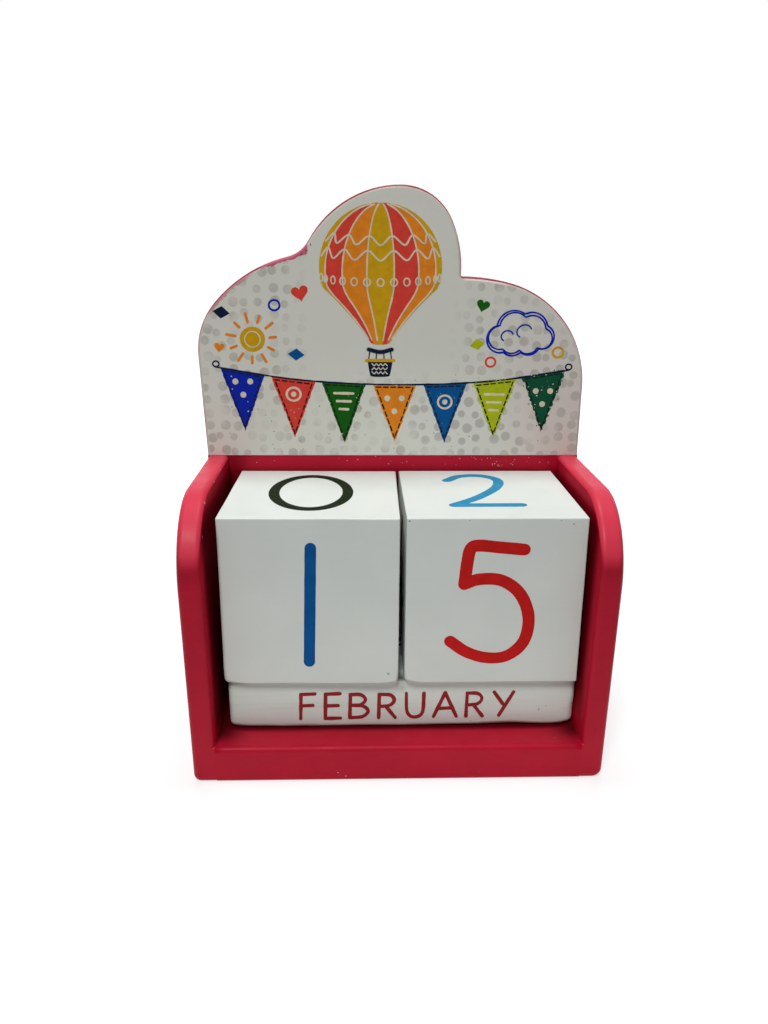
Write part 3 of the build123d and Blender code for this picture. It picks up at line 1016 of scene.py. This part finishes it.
def string(bm):
    line(bm, STRING, 0.5, uneven=0.4, steps=20)
    for u, v in (STRING[0], STRING[-1]):
        loop(bm, u, v + 0.9, 0.9, 0.8, 0.45, 0.05, 0, steps=14)


def pennant_outline(u, drop, inset=0.0):
    """Corners of a flag that hangs on the string, and its point, drawn inwards by inset."""
    half = 6.3 - inset * 1.35
    slope = (string_height(u + 5) - string_height(u - 5)) / 10
    top = string_height(u) - inset
    left, right = (u - half, top - slope * half), (u + half, top + slope * half)
    return left, right, (u + 0.15, top - drop + 2.6 * inset)


def sides_of(corners):
    """The sides of a closed outline, each as its two ends."""
    return list(zip(corners, corners[1:] + corners[:1]))


def along(a, b, step):
    """Points from a to b, about step apart."""
    a, b = Vector(a), Vector(b)
    count = max(1, round((b - a).length / step))
    return [a.lerp(b, i / count) for i in range(count + 1)]


def pennant(number, u, drop):
    """A flag with stitches round it and a small motif of its own; some are scuffed at their edges."""
    scuffed = number >= SCUFFED_FROM
    ragged = 0.30 if scuffed else 0.12

    def build(bm):
        corners = pennant_outline(u, drop)
        outline = []
        for a, b in sides_of(corners):
            for p in along(a, b, 0.6)[:-1]:
                outline.append((p.x + art.uniform(-ragged, ragged), p.y + art.uniform(-ragged, ragged)))
        add_patch(bm, HEADER, outline)
        for a, b in sides_of(pennant_outline(u, drop, 0.75)):
            stops = along(a, b, STITCH)
            for p, q in zip(stops, stops[1:]):
                line(bm, [p, p.lerp(q, 0.62)], 0.42, 0.045, 1, 0.4, steps=2)
        top = corners[0][1]
        if number % 3 == 1:
            for x, y in ((-2.1, -4.0), (2.1, -4.0), (0.0, -7.8)):
                loop(bm, u + x, top + y, 0.45, 0.45, 0.85, 0.04, 2, steps=12)
        elif number % 3 == 2:
            loop(bm, u, top - 5.0, 2.0, 1.9, 0.6, 0.04, 2, 0.3)
            loop(bm, u, top - 5.0, 0.4, 0.4, 0.8, 0.04, 2, steps=12)
        else:
            for k in range(3):
                reach = 2.7 - 0.75 * k
                stripe = [(u - reach, top - 3.2 - 2.3 * k), (u + reach, top - 3.3 - 2.3 * k)]
                line(bm, stripe, 0.75, 0.04, 2, 0.3, steps=4)
        if scuffed:
            for _ in range(34):
                a, b = art.choice(sides_of(corners))
                p = Vector(a).lerp(Vector(b), art.random())
                x, y = p.x + art.uniform(-0.9, 0.9), p.y + art.uniform(-0.7, 0.7)
                add_fleck(bm, HEADER, x, y, 0.55, 0.4, art, 0.05, art.choice((0, 3)), art.uniform(0, 180))
    return build


def heart(u, v, reach, turn):
    def build(bm):
        outline = []
        for i in range(24):
            a = 2 * pi * i / 24
            height = 0.81 * cos(a) - 0.31 * cos(2 * a) - 0.12 * cos(3 * a) - 0.06 * cos(4 * a)
            x, y = spun(reach * sin(a) ** 3, reach * height, turn)
            outline.append((u + x, v + y))
        add_patch(bm, HEADER, outline)
    return build


def diamond(u, v, reach, turn):
    def build(bm):
        outline = []
        for i in range(4):
            a = pi / 2 * i + radians(turn)
            far = reach if i % 2 else reach * 0.72
            outline.append((u + far * sin(a), v + far * cos(a)))
        add_patch(bm, HEADER, outline)
    return build


def ring(u, v, reach, width):
    def build(bm):
        loop(bm, u, v, reach, reach * 0.94, width, 0.02, 0)
    return build


print_piece("balloon", balloon, ["mustard", "coral", "orange", "cream", "navy"])
print_piece("balloon_basket", basket, ["navy", "cream", "mustard"])
print_piece("sun", sun, ["mustard", "orange", "cream"])
print_piece("cloud", cloud, ["royal"])
print_piece("string", string, ["navy"])
for number, (u, ink, drop) in enumerate(PENNANTS, 1):
    print_piece(f"pennant_{number}", pennant(number, u, drop), [ink, "black", "cream", "paper"])
SMALL_MOTIFS = [
    ("heart_1", heart(-26.6, 120.4, 2.4, 12), "coral"),
    ("heart_2", heart(24.6, 117.2, 1.9, -14), "green"),
    ("diamond_1", diamond(-48.6, 115.0, 2.4, 8), "navy"),
    ("diamond_2", diamond(23.4, 106.4, 2.2, -12), "lime"),
    ("diamond_3", diamond(-28.0, 103.4, 2.4, 4), "blue"),
    ("ring_1", ring(-33.8, 117.0, 1.5, 0.6), "royal"),
    ("ring_2", ring(46.6, 104.2, 1.5, 0.7), "mustard"),
    ("ring_3", ring(27.4, 101.4, 1.4, 0.6), "coral"),
    ("heart_3", heart(-49.6, 105.4, 1.5, -8), "orange"),
]
for name, build, ink in SMALL_MOTIFS:
    print_piece(name, build, [ink])


def splatter(bm):
    """Fine spray of grey and white round the flags."""
    for _ in range(150):
        flag = art.choice(PENNANTS)[0]
        u = min(50.5, max(-50.5, art.gauss(flag, 5.5)))
        v = art.uniform(76.0, 98.0)
        reach = art.uniform(0.25, 0.6)
        add_fleck(bm, HEADER, u, v, reach, reach * 0.8, art, 0.05, art.randrange(2), art.uniform(0, 180))


print_piece("splatter", splatter, ["grey", "cream"])

# ---- chips, specks and nibs ----
wear = Random(5)
bpy.context.view_layer.update()
# Each mark is its pixel in the photograph, its width and height in millimetres and how far it stands out.
MARKS = [
    ("left_panel_chips", "tray", "left_side_panel", "chip", [
        (204.7, 503.0, 0.9, 0.8, 0.03), (220.2, 469.7, 0.8, 0.4, 0.03), (214.2, 481.6, 0.9, 0.4, 0.03),
        (202.4, 537.0, 0.4, 0.9, 0.03)]),
    ("header_scuffs", "tray", "header_print_sheet", "scuff", [
        (306.6, 250.5, 0.8, 0.3, 0.02), (310.6, 244.5, 0.3, 0.9, 0.02), (301.5, 254.2, 0.5, 0.4, 0.02)]),
    ("base_nibs", "tray", "base_board", "nib", [
        (554.6, 738.3, 0.9, 0.8, 0.16), (338.7, 775.5, 0.7, 0.5, 0.12), (388.8, 769.9, 0.6, 0.5, 0.12),
        (478.9, 771.5, 1.1, 0.6, 0.08)]),
    ("base_specks", "tray", "base_board", "speck", [
        (338.0, 772.6, 0.35, 0.25, 0.04), (346.0, 776.0, 0.5, 0.2, 0.04)]),
    ("left_cube_dings", "left_cube", "number_cube_left", "ding", [(388.2, 673.7, 0.9, 0.8, 0.02)]),
    ("right_cube_dings", "right_cube", "number_cube_right", "ding", [
        (561.6, 520.4, 0.45, 0.4, 0.02), (574.0, 524.0, 0.8, 0.5, 0.02), (470.0, 520.4, 0.4, 0.3, 0.02)]),
    ("right_cube_pits", "right_cube", "number_cube_right", "pit", [(409.8, 521.2, 0.5, 0.4, 0.02)]),
    ("front_bar_specks", "front_bar", "month_bar_front", "ding", [
        (538.8, 709.3, 0.5, 0.8, 0.02), (470.5, 720.8, 0.5, 0.3, 0.02), (546.0, 706.0, 0.3, 0.4, 0.02)]),
]
for name, body, node, ink, places in MARKS:
    thing = BLOCKS.get(node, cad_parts[node])
    bm = bmesh.new()
    for across, down, width, height, rise in places:
        spot = seen_at(thing, across, down)
        if spot is not None:
            add_fleck(bm, spot, 0.0, 0.0, width, height, wear, rise)
    finish_piece(name, bm, [INK[ink]], body)

# White specks along the red strip over the cubes, most of them on its right.
STRIP = Face((0, BACK_FACE, 0), (1, 0, 0), (0, 0, 1))
STRIP_END = 46.0
STRIP_LEVELS = (70.6, 73.9)
bm = bmesh.new()
for _ in range(46):
    u = wear.choice((wear.uniform(-STRIP_END, STRIP_END), wear.gauss(34.0, 5.0)))
    reach = wear.uniform(0.14, 0.36)
    add_fleck(bm, STRIP, min(STRIP_END, u), wear.uniform(*STRIP_LEVELS), reach, reach * 0.8, wear, 0.03)
finish_piece("strip_specks", bm, [INK["speck"]], "tray")


# ---- lamps, floor and world ----
def soft_lamp(name, place, aim, width, depth, radiance):
    """A rectangular soft box; radiance 1 is as bright as white paper in plain light."""
    lamp = bpy.data.objects.new(name, bpy.data.lights.new(name, "AREA"))
    lamp.data.shape = "RECTANGLE"
    lamp.data.size = width
    lamp.data.size_y = depth
    lamp.data.energy = radiance * pi * width * depth
    lamp.location = place
    lamp.rotation_euler = (Vector(aim) - Vector(place)).to_track_quat("-Z", "Y").to_euler()
    bpy.context.scene.collection.objects.link(lamp)


soft_lamp("key", (-0.15, -0.58, 0.94), (0.0, 0.0, 0.04), 0.22, 0.32, 29.0)
soft_lamp("top", (0.0, 0.10, 0.75), (0.0, 0.0, 0.05), 0.30, 0.24, 11.5)
soft_lamp("back", (0.0, 1.00, 0.12), (0.0, 0.0, 0.07), 0.24, 0.20, 11.0)


def seen_directly(nodes):
    """1 for camera, glossy and transmission rays, and 0 for the rays that light things."""
    path = nodes.add("ShaderNodeLightPath")
    either = nodes.math("MAXIMUM", path.outputs["Is Camera Ray"], path.outputs["Is Glossy Ray"])
    return nodes.math("MAXIMUM", either, path.outputs["Is Transmission Ray"])


WHITE = (1.0, 1.0, 1.0)
SKY_LIGHT = 0.04
world = bpy.data.worlds.new("studio")
bpy.context.scene.world = world
sky = Nodes(world)
strength = sky.ranged(seen_directly(sky), 0.0, 1.0, SKY_LIGHT, 1.0)
background = sky.add("ShaderNodeBackground", {"Color": WHITE, "Strength": strength})
sky.add("ShaderNodeOutputWorld", {"Surface": background.outputs[0]})

FLOOR_NEAR = (0.92, 0.92, 0.90)   # the table top that the calendar stands on
FLOOR_FAR = (0.25, 0.25, 0.25)
PALE_REACH = (0.06, 0.18)  # metres from the calendar over which near gives way to far
FLOOR_SEEN = (0.45, 0.45, 0.45)
FLOOR_GLOW = (0.66, 1.0)  # near and far, so that the floor is white where nothing shades it
GLOW_REACH = (0.12, 0.26)
FLOOR_REACH = 3.0
floor_material = bpy.data.materials.new("floor_pale")
ground = Nodes(floor_material)
away = ground.add("ShaderNodeVectorMath", {0: ground.place()}, operation="LENGTH").outputs["Value"]
floor_color = ground.blend(ground.ranged(away, *PALE_REACH), FLOOR_NEAR, FLOOR_FAR)
plain = ground.add("ShaderNodeBsdfDiffuse", {"Color": floor_color}).outputs[0]
seen = ground.add("ShaderNodeBsdfDiffuse", {"Color": FLOOR_SEEN}).outputs[0]
glow_strength = ground.ranged(away, *GLOW_REACH, *FLOOR_GLOW)
glow = ground.add("ShaderNodeEmission", {"Color": WHITE, "Strength": glow_strength}).outputs[0]
bright = ground.add("ShaderNodeAddShader", {0: seen, 1: glow}).outputs[0]
mixed = ground.add("ShaderNodeMixShader", {0: seen_directly(ground), 1: plain, 2: bright}).outputs[0]
ground.surface(mixed)
floor_mesh = bpy.data.meshes.new("floor")
corners = [(side * FLOOR_REACH, end * FLOOR_REACH, 0) for side, end in ((-1, -1), (1, -1), (1, 1), (-1, 1))]
floor_mesh.from_pydata(corners, [], [(0, 1, 2, 3)])
floor_mesh.materials.append(floor_material)
floor = bpy.data.objects.new("floor", floor_mesh)
bpy.context.scene.collection.objects.link(floor)

bpy.context.view_layer.update()
